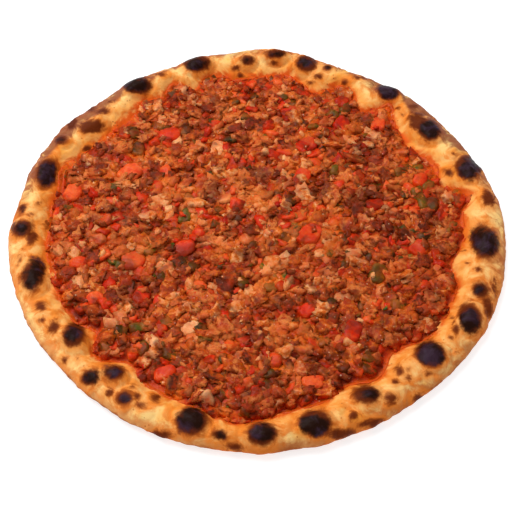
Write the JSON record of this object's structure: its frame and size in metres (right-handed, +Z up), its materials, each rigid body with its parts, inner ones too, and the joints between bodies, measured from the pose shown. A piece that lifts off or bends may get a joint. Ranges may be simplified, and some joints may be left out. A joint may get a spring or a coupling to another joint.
{
  "type": "lahmacun",
  "caption": "Round flatbread with a puffed, blistered rim, thinly spread with minced meat, diced tomato, onion and pepper.",
  "frame": {"origin": "middle of the bounding box at the flat underside", "axes": "+Z up through the bread's thickness, +X the eater's right, +Y away from the eater"},
  "size_m": [0.2811, 0.2875, 0.0162],
  "materials": {
    "crust": "matte",
    "mince": "satin",
    "tomato": "gloss",
    "onion": "gloss",
    "pepper": "satin"
  },
  "bodies": {
    "root": {"bread": "crust", "mince_spread": "mince", "tomato_01": "tomato", "tomato_02": "tomato", "tomato_03": "tomato", "tomato_04": "tomato", "tomato_05": "tomato", "tomato_06": "tomato", "tomato_07": "tomato", "tomato_08": "tomato", "tomato_09": "tomato", "tomato_10": "tomato", "tomato_11": "tomato", "tomato_12": "tomato", "tomato_13": "tomato", "tomato_14": "tomato", "tomato_15": "tomato", "tomato_16": "tomato", "tomato_17": "tomato", "tomato_18": "tomato", "tomato_19": "tomato", "tomato_20": "tomato", "tomato_21": "tomato", "tomato_22": "tomato", "tomato_23": "tomato", "tomato_24": "tomato", "tomato_25": "tomato", "tomato_26": "tomato", "onion_01": "onion", "onion_02": "onion", "onion_03": "onion", "onion_04": "onion", "onion_05": "onion", "onion_06": "onion", "onion_07": "onion", "onion_08": "onion", "pepper_01": "pepper", "pepper_02": "pepper", "pepper_03": "pepper", "pepper_04": "pepper", "pepper_05": "pepper", "pepper_06": "pepper"}
  },
  "joints": []
}
